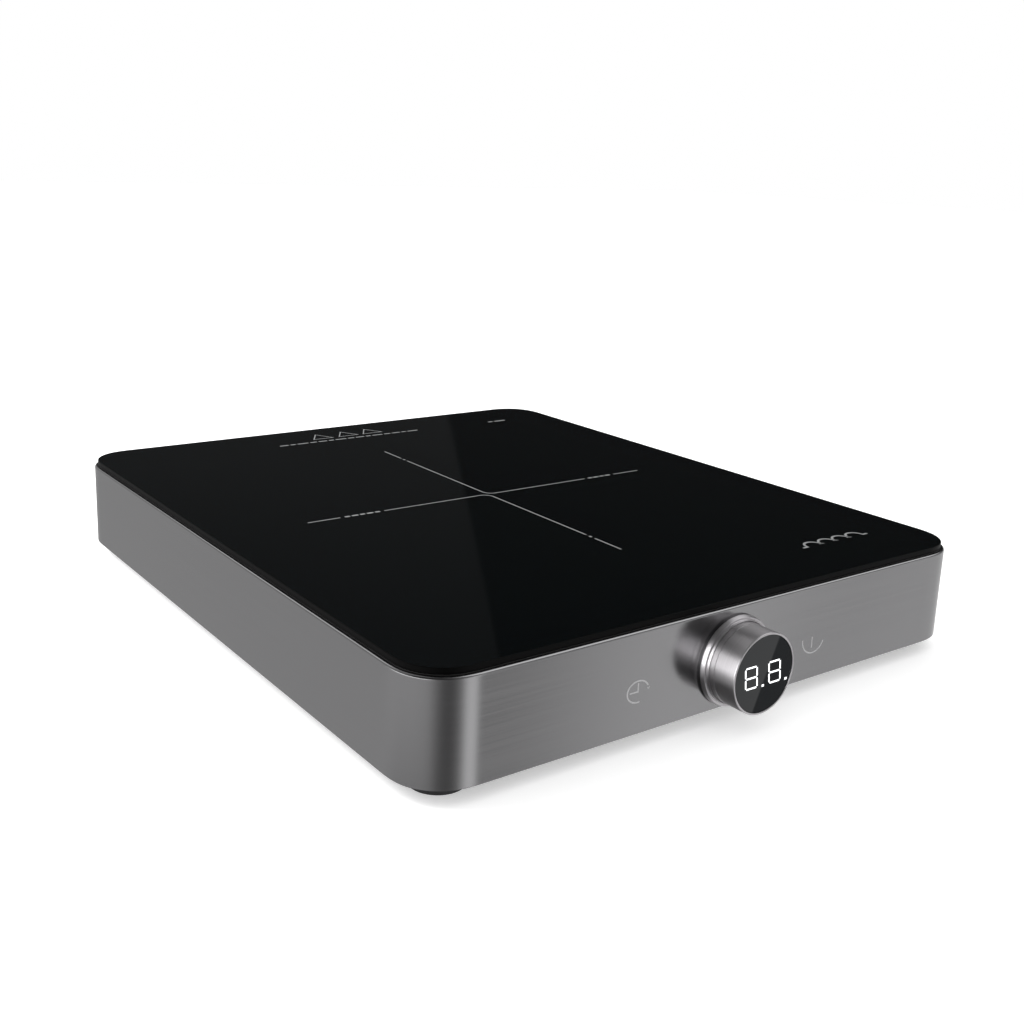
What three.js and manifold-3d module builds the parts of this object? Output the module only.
// A portable single-zone induction cooktop, in millimetres, +Z up, front towards -Y.
// A metal band with a rolled top edge carries a black glass plate. A screwed tray closes it from below,
// and a turn-and-push knob with a display in its face stands out of the front wall.
// The origin is on the table, in the middle of the whole object's footprint.
import * as THREE from "three";
import { mergeVertices } from "three/addons/utils/BufferGeometryUtils.js";
import Module from "manifold-3d";

const wasm = await Module();
wasm.setup();

// ---------------------------------------------------------------- driving dimensions
const bodyWidth = 300;
const bodyDepth = 347;
const cornerRadius = 22;
const bandHeight = 42.3;
const rimRoll = 1.0; // the band's top edge is rolled in by this much
const sheet = 1.2; // thickness of the band's sheet
const lipWidth = 8; // the band's top lip, which carries the glass
const glassThickness = 2.5;
const glassInset = 0.7; // from the band's rolled edge
const gasketThickness = 0.3;
const footHeight = 6.7; // from the table to the band's lower edge
const footRadius = 11.4;
const footFromWall = 21;
const trayBottom = 0.8;
const trayFloor = 3.0;
const trayRimHeight = 9;
const slip = 0.05; // between flat faces that lie on each other
const gap = 0.3; // between pieces that fit into or around each other

const knobX = -1.4;
const knobZ = 19.5;
const knobReach = 16.6; // from the front wall to the knob's face
const knobRadius = 17.1;
const collarRadius = 19.4;
const lensRadius = 16.2;
const cupRadius = 15.6; // the display's cup, behind the lens
const neckRadius = 12.6; // the collar's neck, which passes through the front wall
const pushTravel = 1.0;

const coilInner = 30;
const coilOuter = 88;
const coilTurns = 12;
const coilSeat = 35.2;
const litz = 3.0; // width and height of the litz bundle

const fanSize = 80;
const fanThickness = 15;
const fanX = -78;
const fanY = 116;
const fanBottom = 5.6;

const boardThickness = 1.6;
const powerBoardBottom = 8;
const powerBoardTop = powerBoardBottom + boardThickness;

const glandX = 118;
const glandZ = 23;
const glandRadius = 7.8;
const glandReach = 5.5; // from the rear wall to the gland's end
const cordHoleRadius = 3.9;
const louvreX = 30;
const louvreWidth = 112;
const louvreHeight = 21;
const louvreZ = 23;

const screwX = 136;
const screwY = 70;
const footX = bodyWidth / 2 - footFromWall;
const footY = bodyDepth / 2 - footFromWall;

// ---------------------------------------------------------------- materials
const material = (color, roughness, metalness) =>
  new THREE.MeshStandardMaterial({ color, roughness, metalness });
const brushedSteel = material(0x8d8d8e, 0.34, 1);
const knobSteel = material(0x8a878c, 0.28, 1);
const blackGlass = material(0x060808, 0.06, 0);
const blackPlastic = material(0x17181a, 0.55, 0);
const whitePlastic = material(0xd8d8d2, 0.5, 0);
const rubber = material(0x0b0b0c, 0.85, 0);
const zincSteel = material(0xa7aaad, 0.4, 1);
const aluminium = material(0xb4b7ba, 0.45, 1);
const copper = material(0xb3683a, 0.45, 1);
const ferrite = material(0x2d2e31, 0.7, 0);
const mica = material(0xc9b98c, 0.6, 0);
const circuitBoard = material(0x1d5a35, 0.5, 0);
const brass = material(0xb79a4c, 0.35, 1);

// ---------------------------------------------------------------- shapes
const arcSteps = 6; // straight steps in one rounded corner
const roundSteps = 24; // straight steps round a turned piece

function roundedRectangle(width, depth, radius) {
  const x = width / 2 - radius;
  const y = depth / 2 - radius;
  return new THREE.Shape()
    .absarc(x, y, radius, 0, Math.PI / 2)
    .absarc(-x, y, radius, Math.PI / 2, Math.PI)
    .absarc(-x, -y, radius, Math.PI, 1.5 * Math.PI)
    .absarc(x, -y, radius, 1.5 * Math.PI, 2 * Math.PI)
    .closePath();
}

// A flat shape from z = bottom to z = top.
function slab(shape, bottom, top, curveSegments = arcSteps) {
  const settings = { depth: top - bottom, bevelEnabled: false, curveSegments };
  return new THREE.ExtrudeGeometry(shape, settings).translate(0, 0, bottom);
}

function block(width, depth, bottom, top, x = 0, y = 0) {
  return new THREE.BoxGeometry(width, depth, top - bottom).translate(x, y, (bottom + top) / 2);
}

function rod(radius, bottom, top, x = 0, y = 0, steps = roundSteps) {
  return new THREE.CylinderGeometry(radius, radius, top - bottom, steps)
    .rotateX(Math.PI / 2)
    .translate(x, y, (bottom + top) / 2);
}

// A profile of [radius, height] points turned about the Z axis.
function turned(profile, steps = roundSteps) {
  const points = profile.map(([radius, height]) => new THREE.Vector2(radius, height));
  return new THREE.LatheGeometry(points, steps).rotateX(Math.PI / 2);
}

// A washer-like ring between two radii, turned about the Z axis.
function turnedRing(inner, outer, bottom, top, steps = roundSteps) {
  const profile = [[inner, top], [inner, bottom], [outer, bottom], [outer, top], [inner, top]];
  return turned(profile, steps);
}

// A slab whose top edge is rolled in by `roll`.
function rolledSlab(shape, bottom, top, roll) {
  const settings = {
    depth: top - bottom - 2 * roll,
    bevelThickness: roll,
    bevelSize: roll,
    bevelOffset: -roll,
    bevelSegments: 2,
    curveSegments: arcSteps,
  };
  const bothEdges = new THREE.ExtrudeGeometry(shape, settings).translate(0, 0, bottom + roll);
  return joined(bothEdges, slab(shape, bottom, top - 2 * roll));
}

// A wire of a many-sided section along a curve.
function wire(curve, radius, steps, sides) {
  const section = new THREE.Shape();
  for (let i = 0; i < sides; i++) {
    const angle = ((i + 0.5) / sides) * 2 * Math.PI;
    const point = [radius * Math.cos(angle), radius * Math.sin(angle)];
    if (i === 0) section.moveTo(...point);
    else section.lineTo(...point);
  }
  section.closePath();
  return new THREE.ExtrudeGeometry(section, { steps, extrudePath: curve, bevelEnabled: false });
}

// ---------------------------------------------------------------- joining and cutting
function solidOf(geometry) {
  const bare = new THREE.BufferGeometry().setAttribute("position", geometry.getAttribute("position"));
  if (geometry.index) bare.setIndex(geometry.index);
  const merged = mergeVertices(bare, 1e-3);
  return new wasm.Manifold(
    new wasm.Mesh({
      numProp: 3,
      vertProperties: merged.attributes.position.array,
      triVerts: new Uint32Array(merged.index.array),
    }),
  );
}

function geometryOf(solid) {
  const mesh = solid.getMesh();
  return new THREE.BufferGeometry()
    .setAttribute("position", new THREE.BufferAttribute(mesh.vertProperties, 3))
    .setIndex(new THREE.BufferAttribute(mesh.triVerts, 1));
}

const joined = (...geometries) => geometryOf(wasm.Manifold.union(geometries.map(solidOf)));

function without(geometry, ...cutters) {
  return geometryOf(wasm.Manifold.difference([geometry, ...cutters].map(solidOf)));
}

// ---------------------------------------------------------------- the scene graph
const cooktop = new THREE.Group();
// The housing's own frame: z = 0 at the band's lower edge, x = y = 0 at the glass's middle.
const housing = new THREE.Group();
housing.position.set(0, (knobReach - glandReach) / 2, footHeight);
cooktop.add(housing);

function place(parent, name, geometry, look, x = 0, y = 0, z = 0) {
  const mesh = new THREE.Mesh(geometry, look);
  mesh.name = name;
  mesh.position.set(x, y, z);
  parent.add(mesh);
  return mesh;
}

const corners = [
  ["front_left", -1, -1],
  ["front_right", 1, -1],
  ["rear_left", -1, 1],
  ["rear_right", 1, 1],
];
const frontWall = -bodyDepth / 2;
const rearWall = bodyDepth / 2;

// ---------------------------------------------------------------- outer shell
function sideBand() {
  const outline = roundedRectangle(bodyWidth, bodyDepth, cornerRadius);
  const inside = roundedRectangle(bodyWidth - 2 * sheet, bodyDepth - 2 * sheet, cornerRadius - sheet);
  const mouth = roundedRectangle(bodyWidth - 2 * lipWidth, bodyDepth - 2 * lipWidth, cornerRadius - lipWidth);
  const reach = 6; // a cutter reaches this far either side of a wall
  const knobHole = rod(neckRadius + gap, -reach, reach).rotateX(Math.PI / 2);
  const glandHole = rod(glandRadius + gap, -reach, reach).rotateX(Math.PI / 2);
  const window = block(louvreWidth, 2 * reach, -louvreHeight / 2, louvreHeight / 2);
  return without(
    rolledSlab(outline, 0, bandHeight, rimRoll),
    slab(inside, -1, bandHeight - sheet),
    slab(mouth, 1, bandHeight + 1),
    knobHole.translate(knobX, frontWall, knobZ),
    glandHole.translate(glandX, rearWall, glandZ),
    window.translate(louvreX, rearWall, louvreZ),
  );
}

const topWidth = bodyWidth - 2 * rimRoll;
const topDepth = bodyDepth - 2 * rimRoll;
const gasketBottom = bandHeight + slip;
const glassBottom = gasketBottom + gasketThickness + slip;

function glassTop() {
  const outline = roundedRectangle(
    topWidth - 2 * glassInset,
    topDepth - 2 * glassInset,
    cornerRadius - rimRoll - glassInset,
  );
  return slab(outline, 0, glassThickness);
}

function glassGasket() {
  const edge = glassInset; // set back from the rolled edge, as the glass is
  const width = 5;
  const inner = edge + width;
  const radius = cornerRadius - rimRoll;
  const ring = roundedRectangle(topWidth - 2 * edge, topDepth - 2 * edge, radius - edge);
  const hole = roundedRectangle(topWidth - 2 * inner, topDepth - 2 * inner, radius - inner);
  return without(slab(ring, 0, gasketThickness), slab(hole, -1, 1));
}

place(housing, "side_band", sideBand(), brushedSteel);
place(housing, "glass_gasket", glassGasket(), rubber, 0, 0, gasketBottom);
place(housing, "glass_top", glassTop(), blackGlass, 0, 0, glassBottom);

// ---------------------------------------------------------------- base tray
const trayInset = sheet + 0.6;
const trayRim = 2;
const lugRadius = 98; // where the coil former's lugs stand, from the coil's middle
const lugAngles = [45, 135, 225, 315].map(THREE.MathUtils.degToRad);
const lugPlaces = lugAngles.map((a) => [lugRadius * Math.cos(a), lugRadius * Math.sin(a)]);
const boardPlaces = [[-30, 104], [-30, 158], [130, 104], [130, 158]];
const formerBottom = 33;

// Parallel slots that fill a circle, under the fan.
function inletSlots() {
  const pitch = 5.4;
  const width = 2.6;
  const radius = 37;
  const slots = [];
  for (let row = -6; row <= 6; row++) {
    const offset = row * pitch;
    const length = 2 * Math.sqrt(radius ** 2 - offset ** 2);
    slots.push(block(length, width, 0, 5, fanX, fanY + offset));
  }
  return slots;
}

function baseTray() {
  const width = bodyWidth - 2 * trayInset;
  const depth = bodyDepth - 2 * trayInset;
  const radius = cornerRadius - trayInset;
  const outline = roundedRectangle(width, depth, radius);
  const inside = roundedRectangle(width - 2 * trayRim, depth - 2 * trayRim, radius - trayRim);
  const pan = without(slab(outline, trayBottom, trayRimHeight), slab(inside, trayFloor, trayRimHeight + 1));
  const posts = [
    ...corners.map(([, sx, sy]) => rod(4.6, 2, 10, sx * screwX, sy * screwY, 16)),
    ...lugPlaces.map(([x, y]) => rod(4, 2, formerBottom - gap, x, y, 12)),
    ...boardPlaces.map(([x, y]) => rod(3, 2, powerBoardBottom - gap, x, y, 12)),
  ];
  const holes = [
    ...corners.map(([, sx, sy]) => rod(2.1, 0, 11, sx * screwX, sy * screwY, 12)),
    ...corners.map(([, sx, sy]) => rod(4, 0, 2.8, sx * screwX, sy * screwY, 16)),
    ...corners.map(([, sx, sy]) => rod(4.1, 0, 5, sx * footX, sy * footY, 16)),
    block(34, 8, trayFloor, 12, knobX, frontWall + 3), // clears the knob's nut
  ];
  return without(joined(pan, ...posts), ...holes, ...inletSlots());
}

// ---------------------------------------------------------------- feet, screws, brackets
// A rubber foot with a push-in stem, standing on z = 0.
function foot() {
  const top = footHeight + trayBottom - gap;
  const stemTop = footHeight + 4.5;
  return turned([
    [0, 0],
    [footRadius - 1.4, 0],
    [footRadius - 0.3, 0.5],
    [footRadius, 1.4],
    [footRadius, top],
    [3.8, top],
    [3.8, stemTop],
    [0, stemTop],
  ]);
}

function baseScrew() {
  return turned([[0, 0], [2.6, 0], [3.4, 0.6], [3.4, 1.7], [1.6, 1.7], [1.6, 13], [0, 13]], 12);
}

// An angle welded inside the band: a leaf over the tray's boss and a leaf up the wall.
function bandBracket(side) {
  const wallFace = bodyWidth / 2 - sheet - gap;
  const reach = 19;
  const leafBottom = 10.3;
  const leaf = block(reach, 14, leafBottom, leafBottom + sheet, side * (wallFace - reach / 2));
  const upright = block(sheet, 14, leafBottom, 23, side * (wallFace - sheet / 2));
  return without(joined(leaf, upright), rod(1.9, 8, 14, side * screwX, 0, 12));
}

place(housing, "base_tray", baseTray(), blackPlastic);
for (const [name, sx, sy] of corners) {
  place(housing, `foot_${name}`, foot(), rubber, sx * footX, sy * footY, -footHeight);
  place(housing, `base_screw_${name}`, baseScrew(), zincSteel, sx * screwX, sy * screwY, trayBottom + 0.2);
  place(housing, `band_bracket_${name}`, bandBracket(sx), zincSteel, 0, sy * screwY, 0);
}

// ---------------------------------------------------------------- rear louvre and cord gland
// A grille pressed into the band's window from inside. y = 0 is the front of its flange.
function rearLouvre() {
  const frame = 2;
  const flangeThickness = 1.6;
  const bodyThickness = 1.4;
  const width = louvreWidth - 2 * gap;
  const height = louvreHeight - 2 * gap;
  const flange = block(width + 6, flangeThickness, -height / 2 - 3, height / 2 + 3, 0, -flangeThickness / 2);
  const body = block(width, bodyThickness + 1, -height / 2, height / 2, 0, (bodyThickness - 1) / 2);
  const slats = 5;
  const pitch = (height - frame) / slats;
  const bay = (width - 4 * frame) / 3;
  const cutters = [];
  for (let row = 0; row < slats; row++) {
    const bottom = -height / 2 + frame + row * pitch;
    for (const side of [-1, 0, 1]) {
      cutters.push(block(bay, 20, bottom, bottom + pitch - frame + 0.6, side * (bay + frame)));
    }
  }
  return without(joined(flange, body), ...cutters);
}

// Turned about the Z axis here; its flange lies outside the rear wall.
function cordGland() {
  return turned([
    [cordHoleRadius, -10],
    [glandRadius, -10],
    [glandRadius, 0.3],
    [10.6, 0.3],
    [10.6, 2.2],
    [9.8, 3],
    [5.6, glandReach],
    [cordHoleRadius, glandReach],
    [cordHoleRadius, -10],
  ]);
}

function glandNut() {
  const hexagon = rod(11.5, -7.6, -3.2, 0, 0, 6);
  return without(hexagon, rod(glandRadius + gap, -12, 0));
}

place(housing, "rear_louvre", rearLouvre(), blackPlastic, louvreX, rearWall - sheet - gap, louvreZ);
const gland = new THREE.Group();
gland.position.set(glandX, rearWall, glandZ);
gland.rotation.x = -Math.PI / 2; // its local +Z points out of the rear wall
housing.add(gland);
place(gland, "cord_gland", cordGland(), blackPlastic);
place(gland, "gland_nut", glandNut(), blackPlastic);

// ---------------------------------------------------------------- induction coil
const formerTop = coilSeat - gap;
const hubRadius = 9;

function coilFormer() {
  const plate = turnedRing(20, 93, formerBottom, formerTop, 32);
  const hub = turnedRing(4.8, hubRadius, formerBottom, formerTop, 16);
  const spokes = lugAngles.map((a) => block(16, 5, formerBottom, formerTop, 14, 0).rotateZ(a));
  const lugs = lugPlaces.map(([x, y]) => rod(7, formerBottom, formerTop, x, y, 16));
  return joined(plate, hub, ...spokes, ...lugs);
}

// A flat spiral of litz wire, wound from the inside out.
class Spiral extends THREE.Curve {
  getPoint(share) {
    const angle = Math.PI / 2 + share * coilTurns * 2 * Math.PI;
    const radius = coilInner + share * (coilOuter - coilInner);
    return new THREE.Vector3(radius * Math.cos(angle), radius * Math.sin(angle), 0);
  }
}

function coilWinding() {
  const stepsPerTurn = 15;
  const halfDiagonal = litz / Math.SQRT2;
  return wire(new Spiral(), halfDiagonal, coilTurns * stepsPerTurn, 4);
}

// A spring-loaded temperature probe that touches the glass.
function thermistor() {
  const top = glassBottom - 0.4;
  return turned([[0, 31], [4.4, 31], [4.4, 36], [6, 36], [6, 37.4], [3.6, 37.4], [3.6, top], [0, top]], 16);
}

function coilLead(points) {
  const curve = new THREE.CatmullRomCurve3(points.map((p) => new THREE.Vector3(...p)));
  return wire(curve, 1.5, 16, 6);
}

place(housing, "coil_former", coilFormer(), whitePlastic);
place(housing, "coil_winding", coilWinding(), copper, 0, 0, coilSeat + litz / 2);
place(housing, "thermistor", thermistor(), brass);
const micaRing = turnedRing(7, coilOuter + 3, 0, 0.4, 32);
place(housing, "mica_sheet", micaRing, mica, 0, 0, coilSeat + litz + gap);
for (let i = 0; i < 6; i++) {
  const bar = place(housing, `ferrite_bar_${i + 1}`, block(54, 14, 27.4, 32.6, 57, 0), ferrite);
  bar.rotation.z = (i * Math.PI) / 3;
}
const outerLead = [
  [-1, 88, 36.9],
  [-7, 89.3, 36.9],
  [-12, 94, 36.6],
  [-14, 98, 32],
  [-14, 102, 20],
  [-14, 104, 14],
  [-14, 104, 10.1],
];
const innerLead = [
  [1.2, 30, 36.9],
  [4, 29, 36.9],
  [5, 23, 36.9],
  [4, 17.6, 36],
  [2, 14.6, 31],
  [0, 24, 26],
  [-2, 84, 23],
  [-6, 103, 15],
  [-6, 104, 10.1],
];
place(housing, "coil_lead_outer", coilLead(outerLead), copper);
place(housing, "coil_lead_inner", coilLead(innerLead), copper);

// ---------------------------------------------------------------- power electronics
const powerBoard = new THREE.Group();
powerBoard.position.set(50, 131, powerBoardTop);
housing.add(powerBoard);

// Fins run along X, so that the fan's air passes between them.
function heatSink() {
  const length = 58;
  const fins = [block(length, 42, 0, 4)];
  for (let i = 0; i < 7; i++) fins.push(block(length, 1.8, 3, 19, 0, -20.1 + i * 6.7));
  return joined(...fins);
}

function choke() {
  const core = new THREE.TorusGeometry(11, 5, 8, 18);
  return core.translate(0, 0, 5.3);
}

place(powerBoard, "power_board", block(168, 62, -boardThickness, 0), circuitBoard);
place(powerBoard, "igbt", block(15.6, 20, gap, 4), blackPlastic, -64, 2);
place(powerBoard, "bridge_rectifier", block(20, 16, gap, 4), blackPlastic, -38, 2);
place(powerBoard, "heat_sink", heatSink(), aluminium, -51, 4, 4.2);
place(powerBoard, "resonant_capacitor", block(31, 17, gap, 25), whitePlastic, -1, 18);
place(powerBoard, "filter_capacitor", block(31, 20, gap, 25), whitePlastic, -1, -12);
place(powerBoard, "choke", choke(), copper, 38, -10);
place(powerBoard, "aux_transformer", block(22, 20, gap, 17), blackPlastic, 36, 19);
place(powerBoard, "terminal_block", block(22, 12, gap, 11), whitePlastic, 72, -8);

// ---------------------------------------------------------------- fan
const fan = new THREE.Group();
fan.position.set(fanX, fanY, fanBottom);
housing.add(fan);
const fanBore = 37.6;

function fanFrame() {
  const square = slab(roundedRectangle(fanSize, fanSize, 4), 0, fanThickness, 3);
  const shroud = without(square, rod(fanBore, -1, fanThickness + 1, 0, 0, 32));
  const struts = [0, 1].map((i) => block(2 * fanBore + 1, 3, 0, 2).rotateZ(i * Math.PI / 2 + 0.4));
  const motor = rod(13, 0, 2, 0, 0, 24);
  const spindle = rod(1.5, 1, 12, 0, 0, 12);
  return joined(shroud, ...struts, motor, spindle);
}

function fanRotor() {
  const hub = turned([[1.9, 3], [14, 3], [14, 12.4], [12.6, 13.6], [0, 13.6], [0, 12.6], [1.9, 12.6], [1.9, 3]], 24);
  const blades = [];
  const bladeCount = 7;
  for (let i = 0; i < bladeCount; i++) {
    const blade = new THREE.BoxGeometry(23.4, 15.5, 1.3).rotateX(0.52).translate(24.6, 0, 8);
    blades.push(blade.rotateZ((i / bladeCount) * 2 * Math.PI));
  }
  return joined(hub, ...blades);
}

place(fan, "fan_frame", fanFrame(), blackPlastic);
place(fan, "fan_rotor", fanRotor(), blackPlastic);

// ---------------------------------------------------------------- knob
// The knob's own frame: local +Z points out of the front wall, z = 0 on the wall's outer face.
const knob = new THREE.Group();
knob.position.set(knobX, frontWall, knobZ);
knob.rotation.x = Math.PI / 2;
housing.add(knob);

const stemRadius = 8.4;
const sleeveInner = stemRadius + gap;
const sleeveOuter = 10;
const sleeveBack = -13;
const collarHeight = 3.8;
const collarFloor = 0.5; // the knob's skirt dips into the collar's dish
const skirtBack = collarFloor + pushTravel + 0.3;
const webBack = 3.2;
const webFront = 4.6;
const cupBack = webFront + gap;
const cupFront = knobReach - 2.6;
const clipBack = sleeveBack - 1.4;
const stemBack = -16.4;
const wheelFront = -10.7;
const wheelRadius = 15;
const boardFront = -20.6; // the control board's face towards the knob
const controlBoardBack = boardFront - boardThickness;

// A fixed dished escutcheon whose threaded neck passes through the wall.
function knobCollar() {
  const inner = neckRadius - 1;
  return turned([
    [inner, -9],
    [neckRadius, -9],
    [neckRadius, 0.1],
    [collarRadius, 0.1],
    [collarRadius, 1.1],
    [collarRadius - 0.4, 2],
    [collarRadius - 1.1, 2.5],
    [knobRadius + 0.6, collarHeight],
    [knobRadius + gap, collarHeight],
    [knobRadius + gap, collarFloor],
    [inner, collarFloor],
    [inner, -9],
  ], 32);
}

// A flanged plain bearing inside the collar's neck.
function knobBush() {
  const inner = sleeveOuter + gap;
  const outer = neckRadius - 1 - gap;
  return turned([
    [inner, -10.4],
    [outer + 1.1, -10.4],
    [outer + 1.1, -9.3],
    [outer, -9.3],
    [outer, 0.4],
    [inner, 0.4],
    [inner, -10.4],
  ]);
}

// The part that the fingers turn: an outer skirt, a web and a sleeve.
function knobRing() {
  const chamfer = 0.45;
  const bore = cupRadius + 0.4;
  const seat = lensRadius + gap; // the bore widens for the lens
  const seatBack = knobReach - 3.2;
  return turned([
    [sleeveInner, sleeveBack],
    [sleeveOuter, sleeveBack],
    [sleeveOuter, webBack],
    [bore, webBack],
    [bore, skirtBack],
    [knobRadius - 0.5, skirtBack],
    [knobRadius, skirtBack + 0.5],
    [knobRadius, knobReach - chamfer],
    [knobRadius - chamfer, knobReach],
    [seat, knobReach],
    [seat, seatBack],
    [bore, seatBack],
    [bore, webFront],
    [sleeveInner, webFront],
    [sleeveInner, sleeveBack],
  ], 32);
}

// A cup that holds the display, on a hollow stem that slides but doesn't turn.
function displayCore() {
  const groove = stemRadius - 0.7;
  const body = turned([
    [0, stemBack],
    [stemRadius, stemBack],
    [stemRadius, clipBack - 0.1],
    [groove, clipBack - 0.1],
    [groove, clipBack + 1],
    [stemRadius, clipBack + 1],
    [stemRadius, cupBack],
    [cupRadius, cupBack],
    [cupRadius, cupFront],
    [cupRadius - 0.8, cupFront],
    [cupRadius - 0.8, cupBack + 1.2],
    [stemRadius - 2, cupBack + 1.2],
    [stemRadius - 2, stemBack + 1.2],
    [0, stemBack + 1.2],
  ]);
  const tab = block(11, 3, stemBack, stemBack + 1, -9.5);
  return joined(body, tab);
}

// Holds the core's tab upright, and lets it slide.
function coreGuide() {
  return without(block(4.5, 8, boardFront + gap, -15, -14.2), block(6, 3.6, -19, -14, -14.2));
}

function encoderWheel() {
  const slots = [];
  const slotCount = 12;
  for (let i = 0; i < slotCount; i++) {
    const slot = block(2, 2, wheelFront - 2, wheelFront + 1, 13, 0);
    slots.push(slot.rotateZ((i / slotCount) * 2 * Math.PI));
  }
  return without(turnedRing(sleeveOuter + gap, wheelRadius, wheelFront - 1.2, wheelFront), ...slots);
}

// A light gate on the control board, with the wheel's rim in its slot.
function encoderSensor() {
  return without(block(9, 7, boardFront + gap, -8.6, 17.6), block(5, 9, -13.4, -10.1, 13.3));
}

function pushSwitch() {
  const face = boardFront + 2.2;
  return without(block(6.2, 6.2, boardFront + gap, face), rod(2.1, boardFront + 0.8, 0, 0, 0, 12));
}

// An angle that stands on the tray and carries the control board.
function controlBracket() {
  const back = controlBoardBack - gap;
  const foot = trayFloor + gap - knobZ;
  const top = 16;
  const plate = block(96, top - foot, back - 2, back, 0, (top + foot) / 2);
  const window = block(60, 18, back - 3, back + 1, 0, 1);
  const ledge = block(96, 2.4, back - 12, back, 0, foot + 1.2);
  return joined(without(plate, window), ledge);
}

place(knob, "knob_collar", knobCollar(), knobSteel);
place(knob, "collar_nut", turnedRing(neckRadius + gap, 15.6, -4.5, -sheet - gap), brass);
place(knob, "knob_bush", knobBush(), whitePlastic);
place(knob, "knob_ring", knobRing(), knobSteel);
place(knob, "display_core", displayCore(), blackPlastic);
place(knob, "display_module", block(24.8, 12.4, cupBack + 1.5, cupFront - 0.2), whitePlastic);
place(knob, "knob_lens", rod(lensRadius, cupFront + gap, knobReach - 0.2, 0, 0, 32), blackGlass);
place(knob, "retaining_clip", turnedRing(stemRadius - 0.5, 11.2, clipBack, clipBack + 0.9), zincSteel);
place(knob, "encoder_wheel", encoderWheel(), zincSteel);
place(knob, "encoder_sensor", encoderSensor(), blackPlastic);
place(knob, "core_guide", coreGuide(), whitePlastic);
place(knob, "push_switch", pushSwitch(), blackPlastic);
place(knob, "switch_plunger", rod(1.7, boardFront + 2, stemBack - gap, 0, 0, 12), whitePlastic);
place(knob, "control_board", block(92, 28, controlBoardBack, boardFront, 0, 1), circuitBoard);
place(knob, "buzzer", rod(6, boardFront + gap, boardFront + 6, -34, 2, 16), blackPlastic);
place(knob, "control_bracket", controlBracket(), blackPlastic);

export default cooktop;
